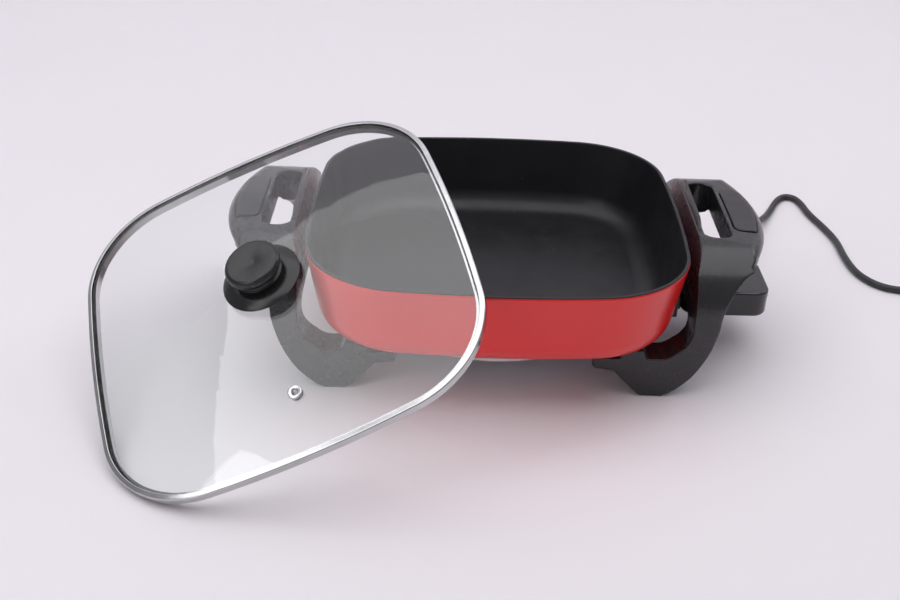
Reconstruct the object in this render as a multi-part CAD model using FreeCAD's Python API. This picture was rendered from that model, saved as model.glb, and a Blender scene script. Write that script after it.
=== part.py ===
import FreeCAD, Part
import math
import os

# Square electric skillet with two leg-handles, a plug-in thermostat and a
# lift-off domed glass lid that leans on the pan's corner.
# Millimetres, +Z up. Built in the pan's frame (pan axis = Z, floor = 0) and
# moved by ORIGIN so that the row's origin is the middle of the footprint.

V = FreeCAD.Vector
os.makedirs("parts", exist_ok=True)

# ---------------------------------------------------------------- dimensions
ORIGIN = (-50.17, -55.73, 0.0)   # pan frame point that becomes the origin

PAN_HALF = 155.0               # half width over the rim, bulged sides included
PAN_RC = 80.4                  # rim corner radius
PAN_S1 = 14.1                  # bulge of the front and back sides
PAN_S2 = 10.8                  # bulge of the left and right sides
RIM_Z = 119.3                  # rim height above the floor
WALL_T = 3.5                   # wall with its coating
COAT_T = 0.9                   # non-stick layer
FLOOR_Z = 50.3                 # underside of the pan
BEND_R = 24.0                  # outer radius between wall and floor
BASE_R = 109.0                 # cast base with the heater
BASE_Z = 33.0

LEG_Y = 103.0                  # half width of a leg-handle, front to back
LEG_TOP = 123.2
GRIP_X = 224.0                 # outermost face of a grip, at its middle
GRIP_BOW = 167.0               # plan radius of the grip's outer face
HOLE_X0, HOLE_X1, HOLE_Y = 168.0, 190.5, 47.0

LID_T = (-172.612, -114.720, 91.414)   # centre of the lid's rim plane
LID_R = ((0.907350, -0.286635, -0.307581),
         (0.155444, 0.908407, -0.388255),
         (0.390608, 0.304439, 0.868711))
DOME_H = 19.0                  # rise of the glass's underside
GLASS_T = 4.0
DOME_P, DOME_Q = 3.74, 2.4

PROBE_Z = 42.0                 # probe and terminals above the floor
THERMO_X1 = 236.0              # outer end of the thermostat
THERMO_HW = 32.0
THERMO_Z0, THERMO_Z1 = 36.0, 60.0

CORD_D = 6.6


# ---------------------------------------------------------------- helpers
def rim_arcs():
    """Arcs of the rim outline, anticlockwise: centre, radius, start, sweep."""
    a = PAN_HALF
    r1 = a * a / (2 * PAN_S1)
    r2 = a * a / (2 * PAN_S2)
    p1 = (0.0, a - r1)
    p2 = (a - r2, 0.0)
    q1, q2 = r1 - PAN_RC, r2 - PAN_RC
    dx, dy = p2[0] - p1[0], p2[1] - p1[1]
    d = math.hypot(dx, dy)
    x = (q1 * q1 - q2 * q2 + d * d) / (2 * d)
    h = math.sqrt(q1 * q1 - x * x)
    ux, uy = dx / d, dy / d
    cands = [(p1[0] + ux * x - uy * h * s, p1[1] + uy * x + ux * h * s) for s in (1, -1)]
    c = max(cands, key=lambda t: t[0] + t[1])
    a2 = math.degrees(math.atan2(c[1] - p2[1], c[0] - p2[0]))
    a1 = math.degrees(math.atan2(c[1] - p1[1], c[0] - p1[0]))
    rc = PAN_RC
    return [
        (p2, r2, -a2, 2 * a2),
        (c, rc, a2, a1 - a2),
        (p1, r1, a1, 180 - 2 * a1),
        ((-c[0], c[1]), rc, 180 - a1, a1 - a2),
        ((-p2[0], 0.0), r2, 180 - a2, 2 * a2),
        ((-c[0], -c[1]), rc, 180 + a2, a1 - a2),
        ((0.0, -p1[1]), r1, 180 + a1, 180 - 2 * a1),
        ((c[0], -c[1]), rc, 360 - a1, a1 - a2),
    ]


ARCS = rim_arcs()


def polar(c, r, deg):
    t = math.radians(deg)
    return (c[0] + r * math.cos(t), c[1] + r * math.sin(t))


def rim_wire(d, z):
    """The outline set in by d, as a closed wire of eight arcs."""
    es = []
    for c, r, s, w in ARCS:
        p = [polar(c, r - d, s + w * k) for k in (0.0, 0.5, 1.0)]
        es.append(Part.Arc(*[V(q[0], q[1], z) for q in p]).toShape())
    return Part.Wire(Part.__sortEdges__(es))


def prism(d, z0, z1):
    return Part.Face(rim_wire(d, z0)).extrude(V(0, 0, z1 - z0))


def prof_wire(items):
    """Closed wire in X,Z. Items are (x,z) corners or ((x,z),(x,z)) = arc's
    middle and end from the last point."""
    es = []
    first = last = None
    for it in items:
        if isinstance(it[0], tuple):
            m, e = it
            es.append(Part.Arc(V(last[0], 0, last[1]), V(m[0], 0, m[1]), V(e[0], 0, e[1])).toShape())
            last = e
        else:
            if last is None:
                first = last = it
                continue
            if math.hypot(it[0] - last[0], it[1] - last[1]) > 1e-6:
                es.append(Part.LineSegment(V(last[0], 0, last[1]), V(it[0], 0, it[1])).toShape())
            last = it
    if math.hypot(first[0] - last[0], first[1] - last[1]) > 1e-6:
        es.append(Part.LineSegment(V(last[0], 0, last[1]), V(first[0], 0, first[1])).toShape())
    return Part.Wire(es)


def conv(items, f):
    out = []
    for it in items:
        if isinstance(it[0], tuple):
            out.append((f(it[0]), f(it[1])))
        else:
            out.append(f(it))
    return out


def ring(items):
    """Sweep a profile given as (d inward, z) along the outline."""
    parts = []
    for c, r, s, w in ARCS:
        wr = prof_wire(conv(items, lambda p: (r - p[0], p[1])))
        f = Part.Face(wr)
        f.rotate(V(0, 0, 0), V(0, 0, 1), s)
        f.translate(V(c[0], c[1], 0))
        parts.append(f.revolve(V(c[0], c[1], 0), V(0, 0, 1), w))
    out = parts[0].fuse(parts[1:])
    return out.removeSplitter()


def box(x0, x1, y0, y1, z0, z1):
    return Part.makeBox(x1 - x0, y1 - y0, z1 - z0, V(x0, y0, z0))


def cyl(r, p, d, h):
    return Part.makeCylinder(r, h, V(*p), V(*d))


def lathe(items, centre=(0, 0)):
    """Turn a closed (r,z) profile about a vertical axis."""
    f = Part.Face(prof_wire(items))
    s = f.revolve(V(0, 0, 0), V(0, 0, 1), 360)
    s.translate(V(centre[0], centre[1], 0))
    return s


def extrude_y(items, y0, y1):
    f = Part.Face(prof_wire(items))
    f.translate(V(0, y0, 0))
    return f.extrude(V(0, y1 - y0, 0))


def round_rect(x0, x1, y0, y1, r, z0, z1):
    """Upright block with rounded vertical edges."""
    k = math.sqrt(0.5) * r
    pts = [
        ((x1, y0 + r), None), ((x1, y1 - r), None),
        ((x1 - r, y1), (x1 - r + k, y1 - r + k)), ((x0 + r, y1), None),
        ((x0, y1 - r), (x0 + r - k, y1 - r + k)), ((x0, y0 + r), None),
        ((x0 + r, y0), (x0 + r - k, y0 + r - k)), ((x1 - r, y0), None),
        ((x1, y0 + r), (x1 - r + k, y0 + r - k)),
    ]
    es = []
    last = pts[0][0]
    for e, m in pts[1:]:
        a, b = V(last[0], last[1], z0), V(e[0], e[1], z0)
        if m:
            es.append(Part.Arc(a, V(m[0], m[1], z0), b).toShape())
        else:
            es.append(Part.LineSegment(a, b).toShape())
        last = e
    return Part.Face(Part.Wire(es)).extrude(V(0, 0, z1 - z0))


def mirror_x(s):
    return s.mirror(V(0, 0, 0), V(1, 0, 0))


def mirror_y(s):
    return s.mirror(V(0, 0, 0), V(0, 1, 0))


def try_fillet(s, r, pick):
    es = [e for e in s.Edges if pick(e)]
    if not es:
        return s
    for k in (1.0, 0.6, 0.35):
        try:
            t = s.makeFillet(r * k, es)
            if t.isValid() and t.Solids and abs(t.Volume) > 0.5 * abs(s.Volume):
                return t
        except Exception:
            pass
    print("fillet skipped", r, len(es))
    return s


NODES = {}


def put(name, shape):
    NODES[name] = shape


# ---------------------------------------------------------------- pan
# wall: leans in by 8.5 mm over 47 mm, then turns into the floor
WX, WZ = 8.5, 70.0
tilt = math.atan2(WX, RIM_Z - 2.3 - WZ)
BC = (WX + BEND_R * math.cos(tilt), WZ + BEND_R * math.sin(tilt))


def bend(r, ang):
    """Point on the bend: ang 0 = end of the wall, 90 = floor."""
    t = math.radians(ang) * (1 - tilt / (math.pi / 2)) + tilt
    return (BC[0] - r * math.cos(t), BC[1] - r * math.sin(t))


BEND_D = BC[0]
FLOOR_Z = BC[1] - BEND_R
T_BODY = WALL_T - COAT_T
r_out = BEND_R
r_mid = BEND_R - T_BODY
r_in = BEND_R - WALL_T
ct, st = math.cos(tilt), math.sin(tilt)
top_z = RIM_Z - COAT_T
out_top = (0.0, top_z - 1.4)
mid_top = (out_top[0] + T_BODY * ct, top_z)
in_top = (out_top[0] + WALL_T * ct, RIM_Z - 0.2)

body_prof = [
    out_top, bend(r_out, 0), (bend(r_out, 45), bend(r_out, 90)),
    (bend(r_mid, 90)), (bend(r_mid, 45), bend(r_mid, 0)),
    (mid_top[0], mid_top[1]), (0.7, top_z),
]
pan = ring(body_prof)
pan = pan.fuse(prism(BEND_D, FLOOR_Z, FLOOR_Z + T_BODY)).removeSplitter()

coat_prof = [
    (0.25, top_z), (mid_top[0], top_z), bend(r_mid, 0), (bend(r_mid, 45), bend(r_mid, 90)),
    bend(r_in, 90), (bend(r_in, 45), bend(r_in, 0)),
    (in_top[0] - 0.3, RIM_Z - 0.9), ((in_top[0] - 0.75, RIM_Z - 0.2), (in_top[0] - 1.4, RIM_Z)),
    (0.9, RIM_Z), ((0.4, RIM_Z - 0.25), (0.25, top_z + 0.2)),
]
coat = ring(coat_prof)
coat = coat.fuse(prism(BEND_D, FLOOR_Z + T_BODY, FLOOR_Z + WALL_T)).removeSplitter()
put("nonstick_coating", coat)

# outer volume of the pan, used to trim what stands against it
pan_solid = ring([out_top, bend(r_out, 0), (bend(r_out, 45), bend(r_out, 90)),
                  (BEND_D + 12, FLOOR_Z), (BEND_D + 12, RIM_Z), (0.0, RIM_Z)])
pan_solid = pan_solid.fuse(prism(BEND_D + 6, FLOOR_Z, RIM_Z)).removeSplitter()

# feet lugs of the pan: screw bosses under the floor, at the legs' ledges
LUGS = [(112.0, 84.0), (112.0, -84.0), (-112.0, 84.0), (-112.0, -84.0)]
lug_z0 = 41.0
for lx, ly in LUGS:
    b = cyl(6.5, (lx, ly, lug_z0), (0, 0, 1), FLOOR_Z + 1.0 - lug_z0)
    b = b.cut(cyl(1.9, (lx, ly, lug_z0 - 1), (0, 0, 1), 9.0))
    pan = pan.fuse(b)
put("pan_body", pan.removeSplitter())

# cast base: ring with the heater inside, thinner middle
g = 2.2
base = lathe([
    (0, FLOOR_Z), (0, FLOOR_Z - 4.8), (70, FLOOR_Z - 4.8), (76, BASE_Z + 1.0),
    ((76.4, BASE_Z + 0.3), (77.2, BASE_Z)), (BASE_R - g, BASE_Z),
    ((BASE_R - 0.6, BASE_Z + 0.6), (BASE_R, BASE_Z + g)), (BASE_R + 1.2, FLOOR_Z),
])
ELEM_R, ELEM_T = 92.0, 4.0
TERM_Y = 14.0
tor = Part.makeTorus(ELEM_R, ELEM_T, V(0, 0, PROBE_Z), V(0, 0, 1))
a_t = math.degrees(math.asin(TERM_Y / ELEM_R))
gap = Part.makeCylinder(150, 20, V(0, 0, PROBE_Z - 10), V(0, 0, 1), 2 * a_t)
gap.rotate(V(0, 0, 0), V(0, 0, 1), -a_t)
elem = tor.cut(gap)
xe = ELEM_R * math.cos(math.radians(a_t))
base.rotate(V(0, 0, 0), V(0, 0, 1), 180)     # keeps the seams away from the bores
groove = tor.copy()
groove.rotate(V(0, 0, 0), V(0, 0, 1), 180)
base = base.cut(groove)
for s in (1, -1):
    base = base.cut(cyl(3.4, (xe - 1, s * TERM_Y, PROBE_Z), (1, 0, 0), 40))
base = base.cut(cyl(4.3, (64, 0, PROBE_Z), (1, 0, 0), 66))
put("heater_base", base)
elem = elem.common(tor)
put("heating_element", elem)

pins = []
bush = []
for s in (1, -1):
    pins.append(cyl(1.8, (95.3, s * TERM_Y, PROBE_Z), (1, 0, 0), 134.0 + 0.6 - 95.3 + 0.0))
    b = cyl(3.3, (96.6, s * TERM_Y, PROBE_Z), (1, 0, 0), 19.4)
    bush.append(b.cut(cyl(1.8, (xe, s * TERM_Y, PROBE_Z), (1, 0, 0), 40)))
put("terminal_pins", Part.makeCompound(pins))
put("ceramic_bushes", Part.makeCompound(bush))

sl = cyl(4.25, (84, 0, PROBE_Z), (1, 0, 0), 38).cut(cyl(3.3, (86, 0, PROBE_Z), (1, 0, 0), 40))
put("sensor_sleeve", sl)

# terminal guard: open box round the pins, between pan and right leg
GX0, GX1, GY, GZ0, GZ1 = 118.0, 158.5, 31.0, 34.5, 61.5
gd = round_rect(GX0, GX1, -GY, GY, 2.0, GZ0, GZ1)
gd = gd.cut(box(GX0 + 3, GX1 + 1, -GY + 2.4, GY - 2.4, GZ0 + 2.4, GZ1 - 2.4))
for s in (1, -1):
    gd = gd.cut(cyl(2.6, (GX0 - 2, s * TERM_Y, PROBE_Z), (1, 0, 0), 10))
gd = gd.cut(cyl(4.6, (GX0 - 2, 0, PROBE_Z), (1, 0, 0), 10))
gd = gd.cut(pan_solid)
gd = gd.cut(Part.makeCylinder(BASE_R + 1.6, 40, V(0, 0, 20)))
keep = max(gd.Solids, key=lambda q: q.Volume)
put("terminal_guard", keep)

# ---------------------------------------------------------------- leg-handles
leg_prof = [
    (118.0, 2.0), (142.0, 2.0), ((155.8, 13.0), (166.9, 28.4)), ((174.6, 46.0), (179.5, 66.0)),
    ((184.0, 88.5), (194.0, 103.0)), ((205.0, 109.6), (219.0, 111.2)), (GRIP_X + 2.0, 112.4),
    (GRIP_X + 2.0, LEG_TOP),
    (163.5, LEG_TOP), (157.6, 107.0), (157.6, 64.0), ((154.0, 49.5), (146.0, 42.0)),
    ((140.0, 37.6), (132.0, 36.0)), (123.0, 36.0), (120.0, 44.0), (104.0, 44.0), (102.0, 36.0),
    (84.0, 36.0), ((80.2, 34.6), (79.4, 31.0)), ((80.6, 27.2), (84.0, 26.0)), (97.0, 24.0),
]
leg = extrude_y(leg_prof, -LEG_Y, LEG_Y)
# rounded in plan at the outer corners
leg = leg.common(round_rect(60.0, GRIP_X + 0.01, -LEG_Y, LEG_Y, 54.0, 0.0, 140.0)
                 .fuse(box(60, 150, -LEG_Y, LEG_Y, 0, 140)))


def barrel(dz, rmax):
    """Outer skin of the bowed grip, as a body about an upright axis."""
    b = GRIP_BOW
    q = lathe([(20.0, -20.0), (rmax, -20.0), (rmax, 100.0), (b - 0.8, 111.6 + dz),
               ((b, 113.2 + dz), (b - 0.3, 115.0 + dz)), ((b - 4.2, 119.5 + dz), (b - 13.0, 121.9 + dz)),
               (b - 32.5, LEG_TOP + 0.05 + dz), (b - 33.0, LEG_TOP + 9.0), (20.0, LEG_TOP + 9.0)])
    q.rotate(V(0, 0, 0), V(0, 0, 1), 180)
    q.translate(V(GRIP_X - GRIP_BOW, 0, 0))
    return q


leg = leg.common(barrel(0.0, 190.0))
# rounded in side view: the arms drop to the front and back faces
RS = 52.0


def side_prism(d):
    """Side view of a leg-handle, set in by d."""
    r, y1, z1 = RS - d + 0.4, LEG_Y - d + 0.4, LEG_TOP - d
    k = math.sqrt(0.5) * r
    q = [V(60, -y1, -20), V(60, y1, -20), V(60, y1, z1 - r), V(60, y1 - r + k, z1 - r + k), V(60, y1 - r, z1),
         V(60, -y1 + r, z1), V(60, -y1 + r - k, z1 - r + k), V(60, -y1, z1 - r)]
    es = [Part.LineSegment(q[0], q[1]).toShape(), Part.LineSegment(q[1], q[2]).toShape(),
          Part.Arc(q[2], q[3], q[4]).toShape(), Part.LineSegment(q[4], q[5]).toShape(),
          Part.Arc(q[5], q[6], q[7]).toShape(), Part.LineSegment(q[7], q[0]).toShape()]
    return Part.Face(Part.Wire(es)).extrude(V(180, 0, 0))


leg = leg.common(side_prism(0.0))
# the middle is open below the grip
def arch_prism(x0, x1, w, top, r):
    """Opening between the front and back leg, round-topped."""
    k = math.sqrt(0.5) * r
    q = [V(x0, -w, -1), V(x0, w, -1), V(x0, w, top - r), V(x0, w - r + k, top - r + k), V(x0, w - r, top),
         V(x0, -w + r, top), V(x0, -w + r - k, top - r + k), V(x0, -w, top - r)]
    es = [Part.LineSegment(q[0], q[1]).toShape(), Part.LineSegment(q[1], q[2]).toShape(),
          Part.Arc(q[2], q[3], q[4]).toShape(), Part.LineSegment(q[4], q[5]).toShape(),
          Part.Arc(q[5], q[6], q[7]).toShape(), Part.LineSegment(q[7], q[0]).toShape()]
    return Part.Face(Part.Wire(es)).extrude(V(x1 - x0, 0, 0))


leg = leg.cut(arch_prism(167.0, 240.0, 75.5, 99.0, 41.0))
leg = leg.cut(arch_prism(60.0, 168.0, 75.5, 66.0, 16.0))
# finger hole, its front and back ends bowed
hx0, hx1, hy = HOLE_X0, HOLE_X1, HOLE_Y
hm = 0.5 * (hx0 + hx1)


def hole_prism(grow, z0, z1):
    a, b, c = hx0 - grow, hx1 + grow, hy + grow
    e = [Part.LineSegment(V(b, -c, z0), V(b, c, z0)).toShape(),
         Part.Arc(V(b, c, z0), V(hm, c + 6.5, z0), V(a, c, z0)).toShape(),
         Part.LineSegment(V(a, c, z0), V(a, -c, z0)).toShape(),
         Part.Arc(V(a, -c, z0), V(hm, -c - 6.5, z0), V(b, -c, z0)).toShape()]
    return Part.Face(Part.Wire(e)).extrude(V(0, 0, z1 - z0))


hole = hole_prism(0.0, 80.0, 140.0)
leg = leg.cut(hole)
# space round the cast base, the guard and the thermostat
leg = leg.cut(Part.makeCylinder(BASE_R + 3.0, 60, V(0, 0, 0)))
# hollow legs: open at the foot, where the rubber foot plugs in
inner_prof = [
    (121.3, -1.0), (138.7, -1.0), (138.7, 4.0), ((152.0, 15.0), (162.6, 30.5)), ((169.9, 47.0), (174.5, 66.0)),
    ((178.5, 84.0), (186.0, 96.5)), (190.0, 100.5), (190.0, 104.0), (164.0, 104.0), (161.6, 96.0), (161.6, 62.0),
    ((157.0, 46.5), (148.5, 38.5)), ((141.5, 33.2), (132.0, 31.6)), (121.3, 31.6),
]
for s in (1, -1):
    c = extrude_y(inner_prof, 80.5 if s > 0 else -99.6, 99.6 if s > 0 else -80.5)
    c = c.common(side_prism(3.4)).common(round_rect(60.0, GRIP_X - 4.0, -LEG_Y + 3.4, LEG_Y - 3.4, 50.5, -2.0, 140.0)
                 .fuse(box(60, 150, -LEG_Y + 3.4, LEG_Y - 3.4, -2, 140)))
    leg = leg.cut(c)
# screw holes in the ledge, under the pan's bosses
for s in (1, -1):
    leg = leg.cut(cyl(7.0, (112.0, s * 84.0, lug_z0 - 0.0), (0, 0, 1), 10))
    leg = leg.cut(cyl(2.3, (112.0, s * 84.0, 20), (0, 0, 1), 30))
    leg = leg.cut(cyl(5.2, (112.0, s * 84.0, 10), (0, 0, 1), 36.2 - 10))
leg = leg.removeSplitter()
if len(leg.Solids) > 1:
    print("leg solids", [round(q.Volume) for q in leg.Solids])
    leg = max(leg.Solids, key=lambda q: q.Volume)

# grip pad: soft inlay on the grip's top
PADX0, PADX1, PADY, PADR = 195.0, 220.0, 38.5, 160.0


def pad_plan(g, z0, z1):
    return round_rect(PADX0 - g, PADX1, -PADY - g, PADY + g, 6.0 + g, z0, z1).common(
        Part.makeCylinder(PADR + g, z1 - z0, V(GRIP_X - GRIP_BOW, 0, z0)))


pad = pad_plan(0.0, LEG_TOP - 6.0, LEG_TOP + 5.0).common(barrel(0.7, 190.0))
seat = pad_plan(0.3, LEG_TOP - 6.0, LEG_TOP + 5.0)
leg = leg.cut(seat)
put("right_leg_handle", leg)
put("left_leg_handle", mirror_x(leg))
put("right_grip_pad", pad)
put("left_grip_pad", mirror_x(pad))

# heat shield: thin upright plate in a slot of the inner wall
fx0, fx1 = 164.9, 166.1
fy, fz0, fz1, fr = 47.5, 96.0, 129.5, 22.0
kf = math.sqrt(0.5) * fr
fp = [V(fx0, -fy, fz0), V(fx0, fy, fz0), V(fx0, fy, fz1 - 3), V(fx0, fy - 2.4, fz1), V(fx0, -fy + fr, fz1),
      V(fx0, -fy + fr - kf, fz1 - fr + kf), V(fx0, -fy, fz1 - fr)]
fe = [Part.LineSegment(fp[0], fp[1]).toShape(), Part.LineSegment(fp[1], fp[2]).toShape(),
      Part.LineSegment(fp[2], fp[3]).toShape(), Part.LineSegment(fp[3], fp[4]).toShape(),
      Part.Arc(fp[4], fp[5], fp[6]).toShape(), Part.LineSegment(fp[6], fp[0]).toShape()]
fin = Part.Face(Part.Wire(fe)).extrude(V(fx1 - fx0, 0, 0))
slot = box(fx0 - 0.15, fx1 + 0.15, -fy - 0.2, fy + 0.2, fz0 - 0.2, 140)
NODES["right_leg_handle"] = leg.cut(slot)
NODES["left_leg_handle"] = mirror_x(NODES["right_leg_handle"])
put("right_heat_shield", fin)
put("left_heat_shield", mirror_x(fin))

# screws: pan to legs, from below
scr = []
for lx, ly in LUGS:
    h = cyl(4.4, (lx, ly, 33.2), (0, 0, 1), 3.0)
    sh = cyl(1.9, (lx, ly, 36.2), (0, 0, 1), 11.0)
    q = h.fuse(sh).cut(box(lx - 3, lx + 3, ly - 0.5, ly + 0.5, 33.0, 34.2)).cut(box(lx - 0.5, lx + 0.5, ly - 3, ly + 3, 33.0, 34.2))
    scr.append(q)
put("leg_screws", Part.makeCompound(scr))

# rubber feet plugged into the legs
feet = []
for sx in (1, -1):
    for sy in (1, -1):
        f = round_rect(119.2, 140.6, 79.2, 101.4, 3.0, 0.0, 2.0)
        f = f.fuse(round_rect(121.6, 138.4, 80.8, 99.3, 2.0, 1.9, 9.0).cut(box(124.5, 136, 83, 97, 2.2, 12))
                   .common(box(100, 138.4, 70, 110, 1.0, 7.0)))
        f = f.removeSplitter()
        if sy < 0:
            f = mirror_y(f)
        if sx < 0:
            f = mirror_x(f)
        feet.append(f)
put("rubber_feet", Part.makeCompound(feet))

# ---------------------------------------------------------------- thermostat
tz0, tz1, hw = THERMO_Z0, THERMO_Z1, THERMO_HW
mid_z = 53.0
TX0 = 162.5
low = round_rect(TX0, THERMO_X1, -hw + 1.5, hw - 1.5, 13.0, tz0, mid_z)
low = try_fillet(low, 3.0, lambda e: abs(e.BoundBox.ZMax - tz0) < 0.02)
low = low.cut(round_rect(TX0 + 2.4, THERMO_X1 - 2.4, -hw + 4, hw - 4, 10.5, tz0 + 2.4, mid_z + 1))
cov = round_rect(TX0, THERMO_X1 + 0.0, -hw, hw, 13.5, mid_z + 0.25, tz1)
cov = try_fillet(cov, 2.2, lambda e: abs(e.BoundBox.ZMin - tz1) < 0.02)
cov = cov.cut(round_rect(TX0 + 2.4, THERMO_X1 - 2.4, -hw + 2.6, hw - 2.6, 10.8, mid_z - 1, tz1 - 2.4))
# probe rod, sockets and nose
nose = round_rect(TX0 - 20.0, TX0 - 0.0, -22.0, 22.0, 2.5, 37.2, 49.2)
rod_hole = cyl(3.05, (TX0 - 30, 0, PROBE_Z), (1, 0, 0), 60)
nose = nose.cut(cyl(3.05, (TX0 - 30, 0, PROBE_Z), (1, 0, 0), 60))
for s in (1, -1):
    nose = nose.cut(cyl(3.3, (TX0 - 30, s * TERM_Y, PROBE_Z), (1, 0, 0), 60))
low = low.cut(cyl(3.05, (TX0 - 5, 0, PROBE_Z), (1, 0, 0), 12))
for s in (1, -1):
    low = low.cut(cyl(3.3, (TX0 - 5, s * TERM_Y, PROBE_Z), (1, 0, 0), 12))
put("socket_block", nose)
probe = cyl(3.0, (90.0, 0, PROBE_Z), (1, 0, 0), 88.0)
probe = try_fillet(probe, 2.0, lambda e: e.BoundBox.XMax < 90.1)
put("probe_rod", probe)
soc = []
for s in (1, -1):
    q = cyl(3.2, (TX0 - 19.5, s * TERM_Y, PROBE_Z), (1, 0, 0), 26.0)
    q = q.cut(cyl(1.95, (TX0 - 22, s * TERM_Y, PROBE_Z), (1, 0, 0), 20.0))
    soc.append(q)
put("contact_sockets", Part.makeCompound(soc))

# dial on the cover, with its shaft
DX, DY, DR = 196.0, 0.0, 16.5
cov = cov.cut(cyl(3.3, (DX, DY, tz1 - 6), (0, 0, 1), 12))
LX, LY = 222.0, 14.0
cov = cov.cut(cyl(3.1, (LX, LY, tz1 - 6), (0, 0, 1), 12))
dial = lathe([(0, tz1 + 0.6), (DR, tz1 + 0.6), (DR, tz1 + 7.4), ((DR - 0.6, tz1 + 8.8), (DR - 2.0, tz1 + 9.4)),
              (0, tz1 + 9.4)], (DX, DY))
for i in range(24):
    t = math.radians(15 * i)
    dial = dial.cut(cyl(0.75, (DX + (DR + 0.25) * math.cos(t), DY + (DR + 0.25) * math.sin(t), tz1), (0, 0, 1), 12))
dial = dial.cut(cyl(3.0, (DX, DY, tz1), (0, 0, 1), 6.6))
ptr = box(DX - 0.8, DX + 0.8, DY + 5.0, DY + DR - 2.6, tz1 + 8.8, tz1 + 9.7)
dial = dial.cut(box(DX - 0.9, DX + 0.9, DY + 4.9, DY + DR - 2.5, tz1 + 8.8, tz1 + 12))
put("dial", dial)
put("dial_pointer", ptr)
put("dial_shaft", cyl(2.9, (DX, DY, 46.0), (0, 0, 1), tz1 + 6.4 - 46.0))
put("lamp_lens", cyl(3.0, (LX, LY, tz1 - 2.3), (0, 0, 1), 3.0))
swb = box(178, 206, -8, 8, 38.7, 45.0)
put("switch_block", swb)
bim = box(181, 203, -3, 3, 45.3, 45.9)
put("bimetal_strip", bim.cut(cyl(2.2, (DX, 0, 40), (0, 0, 1), 10)))
NODES["dial_shaft"] = cyl(2.9, (DX, DY, 46.3), (0, 0, 1), tz1 + 6.4 - 46.3)
ts = []
for x, y in ((170.5, 24.5), (170.5, -24.5), (227.0, 0.0)):
    low = low.fuse(cyl(4.0, (x, y, tz0 + 1.5), (0, 0, 1), mid_z - tz0 - 1.5))
    low = low.cut(cyl(1.5, (x, y, tz0 - 1), (0, 0, 1), 30)).cut(cyl(3.0, (x, y, tz0 - 1), (0, 0, 1), 3.4))
    ts.append(cyl(2.8, (x, y, tz0 + 0.5), (0, 0, 1), 1.9).fuse(cyl(1.45, (x, y, tz0 + 2.3), (0, 0, 1), 13.0)))
put("thermostat_screws", Part.makeCompound(ts))
# cord gland at the back face, near the outer end
GXC, GZC = 219.0, 46.0
low = low.cut(cyl(5.3, (GXC, hw - 6, GZC), (0, 1, 0), 12))
put("thermostat_base", low.removeSplitter())
put("thermostat_cover", cov)

# ---------------------------------------------------------------- cord
relief = lathe([(3.35, -4.5), (6.4, -4.5), (6.4, -2.7), (5.2, -2.7), (5.2, 0.3), (6.2, 0.3), (6.2, 3.6),
                ((5.2, 12.0), (4.5, 20.5)), (3.35, 20.5)])
for zz in (6.0, 10.5, 15.0):
    relief = relief.cut(lathe([(4.6, zz), (8, zz), (8, zz + 2.0), (4.6, zz + 2.0)]))
relief.rotate(V(0, 0, 0), V(1, 0, 0), -90)
relief.translate(V(GXC, hw - 1.5, GZC))
put("strain_relief", relief)

CORD = [
    (219.0, 26.5, 46.0), (219.0, 70.0, 46.0), (224.0, 104.0, 42.5), (238.0, 134.0, 35.0), (257.0, 170.0, 24.0),
    (277.0, 202.0, 13.5), (294.0, 231.0, 6.0), (306.0, 255.0, 3.6), (316.0, 277.0, 3.6), (327.0, 292.0, 3.6),
    (339.0, 290.0, 3.6), (344.0, 273.0, 3.6), (345.0, 250.0, 3.6), (353.0, 219.0, 3.6), (359.0, 185.0, 3.6),
    (357.0, 149.0, 3.6), (360.0, 113.0, 3.6), (377.0, 87.0, 3.6), (409.0, 82.0, 3.6), (449.0, 84.0, 3.6),
]


def tube(points, d):
    """Straight runs joined by tangent arcs; returns the solid, its length and
    the radii."""
    P = [V(*p) for p in points]
    edges = []
    radii = []
    last = P[0]
    length = 0.0
    for i in range(1, len(P) - 1):
        a, b, c = P[i - 1], P[i], P[i + 1]
        u, w = (b - a), (c - b)
        lu, lw = u.Length, w.Length
        u.normalize()
        w.normalize()
        ang = u.getAngle(w)
        cut = 0.45 * min(lu, lw)
        r = cut / math.tan(ang / 2)
        radii.append(r)
        s = b - u * cut
        e = b + w * cut
        bis = (w - u)
        bis.normalize()
        m = b + bis * (r / math.cos(ang / 2) - r)
        if (s - last).Length > 1e-6:
            edges.append(Part.LineSegment(last, s).toShape())
            length += (s - last).Length
        edges.append(Part.Arc(s, m, e).toShape())
        length += r * ang
        last = e
    edges.append(Part.LineSegment(last, P[-1]).toShape())
    length += (P[-1] - last).Length
    w = Part.Wire(edges)
    d0 = P[1] - P[0]
    circ = Part.Wire(Part.Circle(P[0], d0, d / 2).toShape())
    sol = w.makePipeShell([circ], True, True)
    return sol, length, radii


tb, tl, radii = tube(CORD, CORD_D)
print("cord tube length", round(tl, 1), "volume ratio", round(tb.Volume / (math.pi * CORD_D ** 2 / 4 * tl), 4))
print("cord radii", [round(r, 1) for r in radii])
put("cord", tb)

# coil just outside the view, three and a bit turns, two layers
COIL_C = (468.0, 48.0)
COIL_RM = 36.0
COIL_H = 2 * CORD_D + 0.2
coil = lathe([(COIL_RM - 1.0 * CORD_D, 0.3), (COIL_RM + 1.0 * CORD_D, 0.3), (COIL_RM + 1.0 * CORD_D, 0.3 + COIL_H),
              (COIL_RM - 1.0 * CORD_D, 0.3 + COIL_H)], COIL_C)
put("cord_coil", coil)

# ---------------------------------------------------------------- lid (local frame, rim plane z = 0)
def dome(x, y):
    t = (abs(x / PAN_HALF) ** DOME_P + abs(y / PAN_HALF) ** DOME_P) ** (1 / DOME_P)
    return DOME_H * (1 - t ** DOME_Q)


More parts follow.
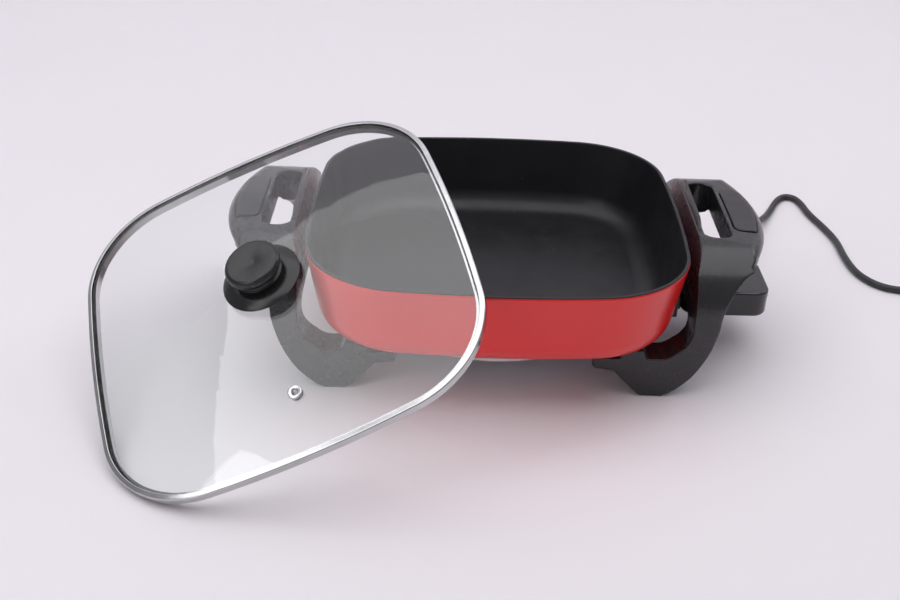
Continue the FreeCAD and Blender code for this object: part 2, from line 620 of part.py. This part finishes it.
n = 33
lim = 160.0
grid = []
for i in range(n):
    row = []
    for j in range(n):
        x = -lim + 2 * lim * i / (n - 1)
        y = -lim + 2 * lim * j / (n - 1)
        row.append(V(x, y, dome(x, y)))
    grid.append(row)
bs = Part.BSplineSurface()
bs.interpolate(grid)
slab = bs.toShape().extrude(V(0, 0, GLASS_T))
glass = slab.common(prism(2.6, -40, 60))
glass = glass.Solids[0]
VENT = (1.8, -106.4)
vz = dome(*VENT)
e_ = 0.5
VN = V(-(dome(VENT[0] + e_, VENT[1]) - dome(VENT[0] - e_, VENT[1])) / (2 * e_),
       -(dome(VENT[0], VENT[1] + e_) - dome(VENT[0], VENT[1] - e_)) / (2 * e_), 1.0)
VN.normalize()
VC = V(VENT[0], VENT[1], vz + GLASS_T / 2)
glass = glass.cut(Part.makeCylinder(3.6, 20, VC - VN * 10, VN))
glass = glass.cut(cyl(4.2, (0, 0, 0), (0, 0, 1), 40))


def under(d):
    return DOME_H * (1 - (1 - d / PAN_HALF) ** DOME_Q)


gp = 0.35
band_prof = [
    (0.3, -0.75), ((-0.0, -0.3), (0.0, 0.3)), (0.0, 4.0), ((0.35, 5.1), (1.4, 5.55)),
    (3.7, GLASS_T + under(3.7) + gp + 0.9), ((4.1, GLASS_T + under(3.7) + gp + 0.75), (4.1, GLASS_T + under(4.1) + gp)),
    (1.7, GLASS_T + under(1.7) + gp), ((1.0, 4.3), (0.8, 3.7)), (0.8, 0.3), ((0.9, 0.05), (1.2, under(1.2) - gp)),
    (7.4, under(7.4) - gp - 0.15), (7.4, -4.4), ((7.0, -5.0), (6.4, -5.1)), ((5.6, -4.9), (5.4, -4.2)),
    ((5.55, -3.8), (6.0, -3.9)), ((6.4, -4.0), (6.6, -3.6)), (6.6, 0.5), ((6.4, 0.85), (6.0, 0.8)), (0.9, -0.7),
]
band = ring(band_prof)
put_lid = {}
put_lid["lid_glass"] = glass
put_lid["lid_band"] = band
# vent eyelet: two flanged rings
gh = GLASS_T * VN.z / 2
ey = lathe([(2.2, -gh - 1.1), (5.0, -gh - 1.1), (5.0, -gh - 0.35), (3.4, -gh - 0.35), (3.4, gh + 0.45), (5.5, gh + 0.45),
            ((5.3, gh + 1.4), (4.2, gh + 1.7)), (3.2, gh + 1.6), ((2.4, gh + 1.2), (2.2, gh + 0.3))])
ey.Placement = FreeCAD.Placement(VC, FreeCAD.Rotation(V(0, 0, 1), VN))
put_lid["vent_eyelet"] = ey

gt = DOME_H + GLASS_T           # top of the glass
# knob: saucer skirt, waist, domed top with a dished crown
SK = 31.3
skirt = lathe([
    (4.5, gt + 0.6), (14.0, gt + 0.6), (22.0, gt + 1.0), ((28.0, gt + 1.6), (SK - 0.6, gt + 2.6)), ((SK, gt + 3.1), (SK - 0.2, gt + 3.8)),
    ((27.0, gt + 6.0), (20.0, gt + 7.4)), ((16.4, gt + 8.6), (15.4, gt + 11.0)), (4.5, gt + 11.0)])
KT = 22.0
ktop = lathe([
    (0, gt + 11.3), (15.6, gt + 11.3), ((16.6, gt + 13.0), (18.6, gt + 14.2)), ((21.4, gt + 16.4), (KT, gt + 19.4)),
    ((21.0, gt + 22.6), (18.0, gt + 23.8)), ((10.0, gt + 23.5), (3.0, gt + 22.9)), (0, gt + 22.9)])
ktop = ktop.cut(cyl(2.55, (0, 0, gt + 5), (0, 0, 1), 14.0))
put_lid["knob_skirt"] = skirt
put_lid["knob_top"] = ktop
scw = cyl(2.5, (0, 0, DOME_H - 1.9), (0, 0, 1), 20.0).fuse(
    lathe([(0, DOME_H - 4.6), (3.6, DOME_H - 4.6), ((4.6, DOME_H - 4.0), (4.8, DOME_H - 1.9)), (0, DOME_H - 1.9)]))
scw = scw.cut(box(-3.4, 3.4, -0.6, 0.6, DOME_H - 6, DOME_H - 3.4)).cut(box(-0.6, 0.6, -3.4, 3.4, DOME_H - 6, DOME_H - 3.4))
put_lid["knob_screw"] = scw
wa = lathe([(2.7, DOME_H - 1.8), (8.5, DOME_H - 1.8), (8.5, DOME_H - 0.9), (2.7, DOME_H - 0.9)])
put_lid["knob_washer"] = wa
ga = lathe([(2.8, DOME_H - 0.8), (8.0, DOME_H - 0.8), (8.0, DOME_H - 0.15), (4.0, DOME_H - 0.15), (4.0, gt + 0.1), (2.8, gt + 0.1)])
ga2 = lathe([(2.8, gt + 0.15), (11.0, gt + 0.15), (11.0, gt + 0.55), (2.8, gt + 0.55)])
put_lid["knob_gaskets"] = Part.makeCompound([ga, ga2])

M = FreeCAD.Matrix(LID_R[0][0], LID_R[0][1], LID_R[0][2], LID_T[0],
                   LID_R[1][0], LID_R[1][1], LID_R[1][2], LID_T[1],
                   LID_R[2][0], LID_R[2][1], LID_R[2][2], LID_T[2], 0, 0, 0, 1)
PLC = FreeCAD.Placement(M)
for nm, s in put_lid.items():
    s.Placement = PLC.multiply(s.Placement)
    put(nm, s)

# ---------------------------------------------------------------- plug
PX, PY = COIL_C[0] + COIL_RM, 112.0
PZ = 9.1
plug = round_rect(PX - 9, PX + 9, PY - 15, PY + 17, 8.0, PZ - 8.7, PZ + 8.7)
cone = Part.makeCone(7.6, 4.6, 22, V(PX, PY - 12, PZ), V(0, -1, 0))
plug = plug.fuse(cone)
plug = plug.cut(cyl(CORD_D / 2, (PX, PY - 60, PZ), (0, 1, 0), 40))
FLIP = (V(0, COIL_C[1], 0), V(0, 1, 0))   # the lead leaves the coil towards -Y
put("plug_body", plug.removeSplitter().mirror(*FLIP))
tail = cyl(CORD_D / 2, (PX, PY - 50.0, PZ), (0, 1, 0), 30.0)
put("cord_tail", tail.mirror(*FLIP))
pp = []
for s in (1, -1):
    q = cyl(2.0, (PX + s * 5.6, PY + 17.0, PZ), (0, 1, 0), 19.0)
    q = try_fillet(q, 1.2, lambda e: e.BoundBox.YMin > PY + 35.9)
    pp.append(q)
put("plug_pins", Part.makeCompound(pp).mirror(*FLIP))

CORD_NODES = ("cord", "cord_coil", "cord_tail", "plug_body", "plug_pins", "strain_relief")

# ---------------------------------------------------------------- write out
bb = None
for nm, s in NODES.items():
    if not s.isValid():
        print("INVALID", nm)
    if nm in CORD_NODES:
        continue
    m = s.copy()
    m.tessellate(0.05)
    b = m.BoundBox
    if bb is None:
        bb = [b.XMin, b.YMin, b.ZMin, b.XMax, b.YMax, b.ZMax]
    else:
        bb = [min(bb[0], b.XMin), min(bb[1], b.YMin), min(bb[2], b.ZMin),
              max(bb[3], b.XMax), max(bb[4], b.YMax), max(bb[5], b.ZMax)]
print("box without the cord", [round(q, 3) for q in bb])
print("bottom centre", round((bb[0] + bb[3]) / 2, 3), round((bb[1] + bb[4]) / 2, 3), round(bb[2], 3))

for nm, s in NODES.items():
    t = s.copy()
    t.translate(V(-ORIGIN[0], -ORIGIN[1], -ORIGIN[2]))
    t.exportStep("parts/%s.step" % nm)
print("nodes", len(NODES))
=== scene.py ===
import bpy, math
from mathutils import Matrix, Vector


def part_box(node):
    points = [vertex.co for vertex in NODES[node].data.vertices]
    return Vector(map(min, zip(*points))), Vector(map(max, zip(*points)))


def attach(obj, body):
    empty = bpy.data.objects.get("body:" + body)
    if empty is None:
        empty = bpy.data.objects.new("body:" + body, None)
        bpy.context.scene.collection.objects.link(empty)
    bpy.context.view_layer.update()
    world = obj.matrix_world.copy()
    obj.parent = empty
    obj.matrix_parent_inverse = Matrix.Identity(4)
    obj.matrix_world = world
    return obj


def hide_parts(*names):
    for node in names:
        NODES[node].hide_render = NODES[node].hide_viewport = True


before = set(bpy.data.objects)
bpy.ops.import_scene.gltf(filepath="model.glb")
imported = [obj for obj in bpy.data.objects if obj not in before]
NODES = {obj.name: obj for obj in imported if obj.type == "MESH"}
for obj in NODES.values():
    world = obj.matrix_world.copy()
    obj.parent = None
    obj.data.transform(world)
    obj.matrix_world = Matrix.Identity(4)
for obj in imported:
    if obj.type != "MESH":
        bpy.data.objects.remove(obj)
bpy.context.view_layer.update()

scene = bpy.context.scene
scene.view_settings.view_transform = "Standard"
OX, OY = 50.17, 55.73            # pan axis in the row frame, mm


def P(x, y, z):
    return Vector(((x + OX) / 1000, (y + OY) / 1000, z / 1000))


# ---------------------------------------------------------------- camera
th, ps, ro = math.radians(29.8028), 0.00075, 0.02772
fw = Vector((math.sin(ps) * math.cos(th), math.cos(ps) * math.cos(th), -math.sin(th)))
ri = Vector((math.cos(ps), -math.sin(ps), 0.0))
up = ri.cross(fw)
r2 = ri * math.cos(ro) + up * math.sin(ro)
u2 = -ri * math.sin(ro) + up * math.cos(ro)
CAM = Vector((0.012479, -0.867137, 0.556043))
cd = bpy.data.cameras.new("camera")
cd.lens = 48.077
cd.sensor_width = 36.0
cd.sensor_fit = "HORIZONTAL"
cam = bpy.data.objects.new("camera", cd)
scene.collection.objects.link(cam)
m = Matrix.Identity(4)
for i in range(3):
    m[i][0], m[i][1], m[i][2], m[i][3] = r2[i], u2[i], -fw[i], CAM[i]
cam.matrix_world = m
scene.camera = cam

# ---------------------------------------------------------------- cord
CORD = [
    (219.0, 26.5, 46.0), (219.0, 70.0, 46.0), (224.0, 104.0, 42.5), (238.0, 134.0, 35.0), (257.0, 170.0, 24.0),
    (277.0, 202.0, 13.5), (294.0, 231.0, 6.0), (306.0, 255.0, 3.6), (316.0, 277.0, 3.6), (327.0, 292.0, 3.6),
    (339.0, 290.0, 3.6), (344.0, 273.0, 3.6), (345.0, 250.0, 3.6), (353.0, 219.0, 3.6), (359.0, 185.0, 3.6),
    (357.0, 149.0, 3.6), (360.0, 113.0, 3.6), (377.0, 87.0, 3.6), (409.0, 82.0, 3.6), (449.0, 84.0, 3.6),
]
COIL_C = (468.0, 48.0)
RO, RI, ZB, ZT = 40.0, 33.0, 3.6, 10.4


def ease(t):
    t = min(1.0, max(0.0, t))
    return t * t * (3 - 2 * t)


coil_pts = []
N_TURN = 20
steps = int(round(1170 / 360 * N_TURN))
for k in range(0, steps + 1):
    a = 1170.0 * k / steps           # degrees wound so far
    r = RO - (RO - RI) * ease((a - 238) / 85) + (RO - RI) * ease((a - 960) / 60)
    z = ZB + (ZT - ZB) * ease((a - 540) / 62)
    t = math.radians(90.0 - a)
    coil_pts.append((COIL_C[0] + r * math.cos(t), COIL_C[1] + r * math.sin(t), z))
tail_pts = [(507.2, 38.0, 10.4), (505.4, 27.0, 10.1), (504.2, 17.0, 9.4), (504.0, 7.0, 9.1), (504.0, 0.0, 9.1)]
cc = bpy.data.curves.new("mains_lead", "CURVE")
cc.dimensions = "3D"
sp = cc.splines.new("NURBS")
allp = CORD + coil_pts + tail_pts
sp.points.add(len(allp) - 1)
for q, p in zip(sp.points, allp):
    v = P(*p)
    q.co = (v.x, v.y, v.z, 1.0)
    q.radius = 0.0033
sp.order_u = 3
sp.use_endpoint_u = True
sp.resolution_u = 6
cc.bevel_depth = 1.0
cc.bevel_resolution = 6
cc.use_fill_caps = True
cord = bpy.data.objects.new("mains_lead", cc)
scene.collection.objects.link(cord)
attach(cord, "thermostat")
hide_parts("cord", "cord_coil", "cord_tail")


# ---------------------------------------------------------------- materials
def link(nt, a, b):
    nt.links.new(a, b)


def surface(name, base, base2=None, rough=(0.3, 0.4), metallic=0.0, scale=40.0, detail=4.0, bump=0.0, bscale=600.0,
            dist=0.0002, coat=0.0, coat_rough=0.1, stretch=(1, 1, 1), spec=0.5, loc=(0, 0, 0), rot=(0, 0, 0), wear=None):
    """Principled material: cloudy colour and roughness, fine bump, worn edges."""
    mt = bpy.data.materials.new(name)
    mt.use_nodes = True
    nt = mt.node_tree
    p = nt.nodes["Principled BSDF"]
    p.inputs["Metallic"].default_value = metallic
    p.inputs["Specular IOR Level"].default_value = spec
    p.inputs["Coat Weight"].default_value = coat
    p.inputs["Coat Roughness"].default_value = coat_rough
    tc = nt.nodes.new("ShaderNodeTexCoord")
    mp = nt.nodes.new("ShaderNodeMapping")
    mp.inputs["Scale"].default_value = stretch
    mp.inputs["Location"].default_value = loc
    mp.inputs["Rotation"].default_value = rot
    link(nt, tc.outputs["Object"], mp.inputs["Vector"])
    n1 = nt.nodes.new("ShaderNodeTexNoise")
    n1.inputs["Scale"].default_value = scale
    n1.inputs["Detail"].default_value = detail
    n1.inputs["Roughness"].default_value = 0.6
    link(nt, mp.outputs["Vector"], n1.inputs["Vector"])
    mix = nt.nodes.new("ShaderNodeMix")
    mix.data_type = "RGBA"
    mix.inputs["A"].default_value = (*base, 1)
    mix.inputs["B"].default_value = (*(base2 or base), 1)
    mr = nt.nodes.new("ShaderNodeMapRange")
    mr.inputs["From Min"].default_value = 0.3
    mr.inputs["From Max"].default_value = 0.7
    link(nt, n1.outputs["Fac"], mr.inputs["Value"])
    link(nt, mr.outputs["Result"], mix.inputs["Factor"])
    colour = mix.outputs["Result"]
    if wear:
        geo = nt.nodes.new("ShaderNodeNewGeometry")
        wr = nt.nodes.new("ShaderNodeMapRange")
        wr.inputs["From Min"].default_value = 0.53
        wr.inputs["From Max"].default_value = 0.62
        link(nt, geo.outputs["Pointiness"], wr.inputs["Value"])
        m2 = nt.nodes.new("ShaderNodeMix")
        m2.data_type = "RGBA"
        m2.inputs["B"].default_value = (*wear, 1)
        link(nt, colour, m2.inputs["A"])
        ml = nt.nodes.new("ShaderNodeMath")
        ml.operation = "MULTIPLY"
        ml.inputs[1].default_value = 0.6
        link(nt, wr.outputs["Result"], ml.inputs[0])
        link(nt, ml.outputs["Value"], m2.inputs["Factor"])
        colour = m2.outputs["Result"]
    link(nt, colour, p.inputs["Base Color"])
    n3 = nt.nodes.new("ShaderNodeTexNoise")
    n3.inputs["Scale"].default_value = scale * 2.7
    n3.inputs["Detail"].default_value = 5.0
    link(nt, mp.outputs["Vector"], n3.inputs["Vector"])
    rr = nt.nodes.new("ShaderNodeMapRange")
    rr.inputs["From Min"].default_value = 0.3
    rr.inputs["From Max"].default_value = 0.7
    rr.inputs["To Min"].default_value = rough[0]
    rr.inputs["To Max"].default_value = rough[1]
    link(nt, n3.outputs["Fac"], rr.inputs["Value"])
    link(nt, rr.outputs["Result"], p.inputs["Roughness"])
    if bump:
        n2 = nt.nodes.new("ShaderNodeTexNoise")
        n2.inputs["Scale"].default_value = bscale
        n2.inputs["Detail"].default_value = 3.0
        link(nt, mp.outputs["Vector"], n2.inputs["Vector"])
        bp = nt.nodes.new("ShaderNodeBump")
        bp.inputs["Strength"].default_value = bump
        bp.inputs["Distance"].default_value = dist
        link(nt, n2.outputs["Fac"], bp.inputs["Height"])
        link(nt, bp.outputs["Normal"], p.inputs["Normal"])
    return mt


def specks(mt, colour, scale, size, amount):
    """Adds sparse small specks to a material's colour."""
    nt = mt.node_tree
    p = nt.nodes["Principled BSDF"]
    src = p.inputs["Base Color"].links[0].from_socket
    tc = nt.nodes.new("ShaderNodeTexCoord")
    vo = nt.nodes.new("ShaderNodeTexVoronoi")
    vo.inputs["Scale"].default_value = scale
    link(nt, tc.outputs["Object"], vo.inputs["Vector"])
    d = nt.nodes.new("ShaderNodeMapRange")
    d.inputs["From Min"].default_value = size
    d.inputs["From Max"].default_value = size * 0.5
    link(nt, vo.outputs["Distance"], d.inputs["Value"])
    sep = nt.nodes.new("ShaderNodeSeparateColor")
    link(nt, vo.outputs["Color"], sep.inputs["Color"])
    g = nt.nodes.new("ShaderNodeMath")
    g.operation = "GREATER_THAN"
    g.inputs[1].default_value = 1 - amount
    link(nt, sep.outputs["Red"], g.inputs[0])
    ml = nt.nodes.new("ShaderNodeMath")
    ml.operation = "MULTIPLY"
    link(nt, d.outputs["Result"], ml.inputs[0])
    link(nt, g.outputs["Value"], ml.inputs[1])
    mx = nt.nodes.new("ShaderNodeMix")
    mx.data_type = "RGBA"
    mx.inputs["B"].default_value = (*colour, 1)
    link(nt, src, mx.inputs["A"])
    link(nt, ml.outputs["Value"], mx.inputs["Factor"])
    link(nt, mx.outputs["Result"], p.inputs["Base Color"])
    return mt


M = {}
M["red"] = surface("red_enamel", (0.76, 0.012, 0.011), (0.80, 0.016, 0.014), (0.28, 0.32), scale=9, bump=0.03, bscale=1100,
                   dist=0.0001, coat=0.35, coat_rough=0.16)
M["nonstick"] = specks(surface("nonstick", (0.007, 0.007, 0.009), (0.011, 0.011, 0.013), (0.33, 0.44), scale=18, bump=0.18,
                               bscale=1500, dist=0.0002, spec=0.4), (0.12, 0.12, 0.12), 150, 0.12, 0.06)
M["cast"] = surface("cast_aluminium", (0.72, 0.72, 0.74), (0.60, 0.60, 0.62), (0.30, 0.46), metallic=1.0, scale=60, bump=0.25,
                    bscale=900, dist=0.0002)
M["steel"] = surface("turned_steel", (0.62, 0.62, 0.64), (0.50, 0.50, 0.52), (0.22, 0.38), metallic=1.0, scale=160, bump=0.12,
                     bscale=1200, stretch=(1, 1, 0.08), dist=0.0001)
M["ceramic"] = surface("bush_ceramic", (0.84, 0.82, 0.77), (0.76, 0.73, 0.68), (0.35, 0.5), scale=90, bump=0.1, bscale=1400)
M["matt"] = surface("black_plastic_fine", (0.014, 0.014, 0.015), (0.022, 0.022, 0.024), (0.38, 0.52), scale=50, bump=0.22,
                    bscale=1700, dist=0.00015)
M["handle"] = surface("handle_phenolic", (0.011, 0.011, 0.013), (0.018, 0.018, 0.020), (0.25, 0.31), scale=26, bump=0.06,
                      bscale=1500, dist=0.0001, coat=0.25, coat_rough=0.12)
M["pad"] = surface("grip_inlay", (0.022, 0.022, 0.024), (0.031, 0.031, 0.034), (0.36, 0.46), scale=30, bump=0.3, bscale=1900,
                   dist=0.00015)
M["shield"] = surface("shield_dark_steel", (0.024, 0.022, 0.022), (0.038, 0.035, 0.034), (0.26, 0.36), metallic=0.2, scale=120,
                      bump=0.1, bscale=1400, stretch=(1, 1, 0.1))
M["rubber"] = surface("rubber", (0.016, 0.016, 0.016), (0.028, 0.028, 0.028), (0.6, 0.75), scale=80, bump=0.4, bscale=2200,
                      dist=0.0002)
M["cord"] = surface("cord_sheath", (0.020, 0.021, 0.024), (0.032, 0.033, 0.037), (0.36, 0.5), scale=60, bump=0.3, bscale=1500,
                    dist=0.0002)
M["brass"] = surface("brass", (0.72, 0.52, 0.22), (0.60, 0.42, 0.17), (0.2, 0.34), metallic=1.0, scale=120, bump=0.1, bscale=1300)
M["white"] = surface("moulded_white", (0.74, 0.74, 0.73), (0.66, 0.66, 0.65), (0.4, 0.5), scale=80, bump=0.1, bscale=1600)
M["lamp"] = surface("lamp_red", (0.55, 0.02, 0.01), (0.45, 0.012, 0.008), (0.12, 0.2), scale=200, bump=0.5, bscale=700, coat=0.5,
                    coat_rough=0.05)
M["gloss"] = surface("housing_gloss", (0.013, 0.013, 0.015), (0.019, 0.019, 0.021), (0.14, 0.22), scale=26, bump=0.04,
                     bscale=700, dist=0.0001, coat=0.3, coat_rough=0.06)
M["knob"] = surface("knob_phenolic", (0.010, 0.010, 0.011), (0.017, 0.017, 0.018), (0.20, 0.30), scale=30, bump=0.06,
                    bscale=1100, dist=0.0001)
M["chrome"] = surface("band_steel", (0.66, 0.66, 0.67), (0.54, 0.545, 0.55), (0.12, 0.24), metallic=1.0, scale=35, bump=0.06,
                      bscale=500, dist=0.0002)
M["floor"] = surface("pale_table", (0.80, 0.775, 0.815), (0.81, 0.785, 0.825), (0.55, 0.65), scale=3)


def glass_material():
    mt = bpy.data.materials.new("lid_glass_clear")
    mt.use_nodes = True
    nt = mt.node_tree
    p = nt.nodes["Principled BSDF"]
    out = nt.nodes["Material Output"]
    p.inputs["Base Color"].default_value = (0.955, 0.975, 0.968, 1)
    p.inputs["Transmission Weight"].default_value = 1.0
    p.inputs["IOR"].default_value = 1.52
    tc = nt.nodes.new("ShaderNodeTexCoord")
    n1 = nt.nodes.new("ShaderNodeTexNoise")
    n1.inputs["Scale"].default_value = 14.0
    n1.inputs["Detail"].default_value = 6.0
    link(nt, tc.outputs["Object"], n1.inputs["Vector"])
    rr = nt.nodes.new("ShaderNodeMapRange")
    rr.inputs["From Min"].default_value = 0.5
    rr.inputs["From Max"].default_value = 0.8
    rr.inputs["To Min"].default_value = 0.0
    rr.inputs["To Max"].default_value = 0.05
    link(nt, n1.outputs["Fac"], rr.inputs["Value"])
    link(nt, rr.outputs["Result"], p.inputs["Roughness"])
    lp = nt.nodes.new("ShaderNodeLightPath")
    tr = nt.nodes.new("ShaderNodeBsdfTransparent")
    tr.inputs["Color"].default_value = (0.90, 0.93, 0.92, 1)
    mx = nt.nodes.new("ShaderNodeMixShader")
    link(nt, lp.outputs["Is Shadow Ray"], mx.inputs["Fac"])
    link(nt, p.outputs["BSDF"], mx.inputs[1])
    link(nt, tr.outputs["BSDF"], mx.inputs[2])
    link(nt, mx.outputs["Shader"], out.inputs["Surface"])
    return mt


M["glass"] = glass_material()

FINISH = {
    "pan_body": "red", "nonstick_coating": "nonstick", "heater_base": "cast", "heating_element": "steel",
    "terminal_pins": "steel", "ceramic_bushes": "ceramic", "sensor_sleeve": "steel", "terminal_guard": "matt",
    "right_leg_handle": "handle", "left_leg_handle": "handle", "right_grip_pad": "pad", "left_grip_pad": "pad",
    "right_heat_shield": "shield", "left_heat_shield": "shield", "leg_screws": "steel", "rubber_feet": "rubber",
    "socket_block": "matt", "probe_rod": "steel", "contact_sockets": "brass", "dial": "matt", "dial_pointer": "white",
    "dial_shaft": "steel", "lamp_lens": "lamp", "switch_block": "white", "bimetal_strip": "brass",
    "thermostat_screws": "steel", "thermostat_base": "gloss", "thermostat_cover": "gloss", "strain_relief": "rubber",
    "cord": "cord", "cord_coil": "cord", "cord_tail": "cord", "lid_glass": "glass", "lid_band": "chrome",
    "vent_eyelet": "chrome", "knob_skirt": "knob", "knob_top": "knob", "knob_screw": "steel", "knob_washer": "steel",
    "knob_gaskets": "rubber", "plug_body": "rubber", "plug_pins": "brass",
}


def paint(o, mt):
    if not o.data.materials:
        o.data.materials.append(mt)
    for i in range(len(o.material_slots)):
        o.material_slots[i].link = "OBJECT"
        o.material_slots[i].material = mt


for name, o in NODES.items():
    paint(o, M[FINISH[name]])
cc.materials.append(M["cord"])


# ---------------------------------------------------------------- rounded copies of sharp mouldings
def rounded(name, new, body, mat, voxel, smooth, keep=1.0):
    """A copy of a node with softened edges, remeshed evenly."""
    src = NODES[name]
    me = src.data.copy()
    me.materials.clear()
    o = bpy.data.objects.new(new, me)
    scene.collection.objects.link(o)
    o.matrix_world = src.matrix_world.copy()
    rm = o.modifiers.new("remesh", "REMESH")
    rm.mode = "VOXEL"
    rm.voxel_size = voxel
    rm.adaptivity = 0.0
    sm = o.modifiers.new("smooth", "SMOOTH")
    sm.factor = 0.5
    sm.iterations = smooth
    if keep < 1.0:
        dc = o.modifiers.new("decimate", "DECIMATE")
        dc.ratio = keep
    dg = bpy.context.evaluated_depsgraph_get()
    done = bpy.data.meshes.new_from_object(o.evaluated_get(dg))
    o.modifiers.clear()
    o.data = done
    done.materials.clear()
    done.materials.append(mat)
    for q in done.polygons:
        q.use_smooth = True
    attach(o, body)
    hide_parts(name)
    return o


for side in ("right", "left"):
    rounded(side + "_leg_handle", side + "_leg_moulding", "skillet", M["handle"], 0.0010, 8)
    rounded(side + "_grip_pad", side + "_grip_inlay", "skillet", M["pad"], 0.0006, 4)
    src = NODES[side + "_heat_shield"]
    me = src.data.copy()
    lo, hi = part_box(side + "_heat_shield")
    mid = 0.5 * (lo[0] + hi[0])
    for q in me.vertices:
        q.co.x = mid + (q.co.x - mid) * 2.0
    plate = bpy.data.objects.new(side + "_shield_plate", me)
    scene.collection.objects.link(plate)
    plate.matrix_world = src.matrix_world.copy()
    me.materials.clear()
    me.materials.append(M["shield"])
    bv = plate.modifiers.new("bevel", "BEVEL")
    bv.width = 0.0004
    bv.segments = 2
    bv.limit_method = "ANGLE"
    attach(plate, "skillet")
    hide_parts(side + "_heat_shield")
plug = rounded("plug_body", "plug_moulding", "thermostat", M["rubber"], 0.0007, 5)


# ---------------------------------------------------------------- stage and light
def mesh_object(name, verts, faces, smooth=False):
    me = bpy.data.meshes.new(name)
    me.from_pydata(verts, [], faces)
    me.update()
    o = bpy.data.objects.new(name, me)
    scene.collection.objects.link(o)
    for q in me.polygons:
        q.use_smooth = smooth
    return o


prof = [(-3.0, 0.0), (0.9, 0.0)]
R = 0.35
for k in range(1, 13):
    t = math.radians(90 * k / 12)
    prof.append((0.9 + R * math.sin(t), R - R * math.cos(t)))
prof.append((0.9 + R, 3.0))
vs = []
for y, z in prof:
    vs += [(-3.5, y, z), (3.5, y, z)]
floor = mesh_object("floor", vs, [(2 * i, 2 * i + 1, 2 * i + 3, 2 * i + 2) for i in range(len(prof) - 1)], True)
floor.data.materials.append(M["floor"])


def softbox(name, at, aim, size, power, colour=(1, 1, 1), size_y=None):
    ld = bpy.data.lights.new(name, "AREA")
    ld.shape = "RECTANGLE"
    ld.size = size
    ld.size_y = size_y or size
    ld.energy = power
    ld.color = colour
    o = bpy.data.objects.new(name, ld)
    scene.collection.objects.link(o)
    o.location = at
    o.rotation_euler = (Vector(aim) - Vector(at)).to_track_quat("-Z", "Y").to_euler()
    return o


softbox("overhead", (-0.3, 0.3, 2.4), (-0.3, 0.3, 0.0), 4.0, 66, (1.0, 0.985, 1.0), 3.4)
softbox("front_left", (-1.6, -1.4, 1.5), (0.0, 0.0, 0.1), 1.0, 7, (1.0, 0.985, 1.0), 1.2)
softbox("right_back", (1.5, 0.9, 1.3), (0.1, 0.0, 0.1), 0.5, 3, (1.0, 0.985, 1.0), 0.8)
w = bpy.data.worlds.new("studio")
scene.world = w
w.use_nodes = True
w.node_tree.nodes["Background"].inputs["Color"].default_value = (0.93, 0.92, 0.96, 1)
w.node_tree.nodes["Background"].inputs["Strength"].default_value = 0.30
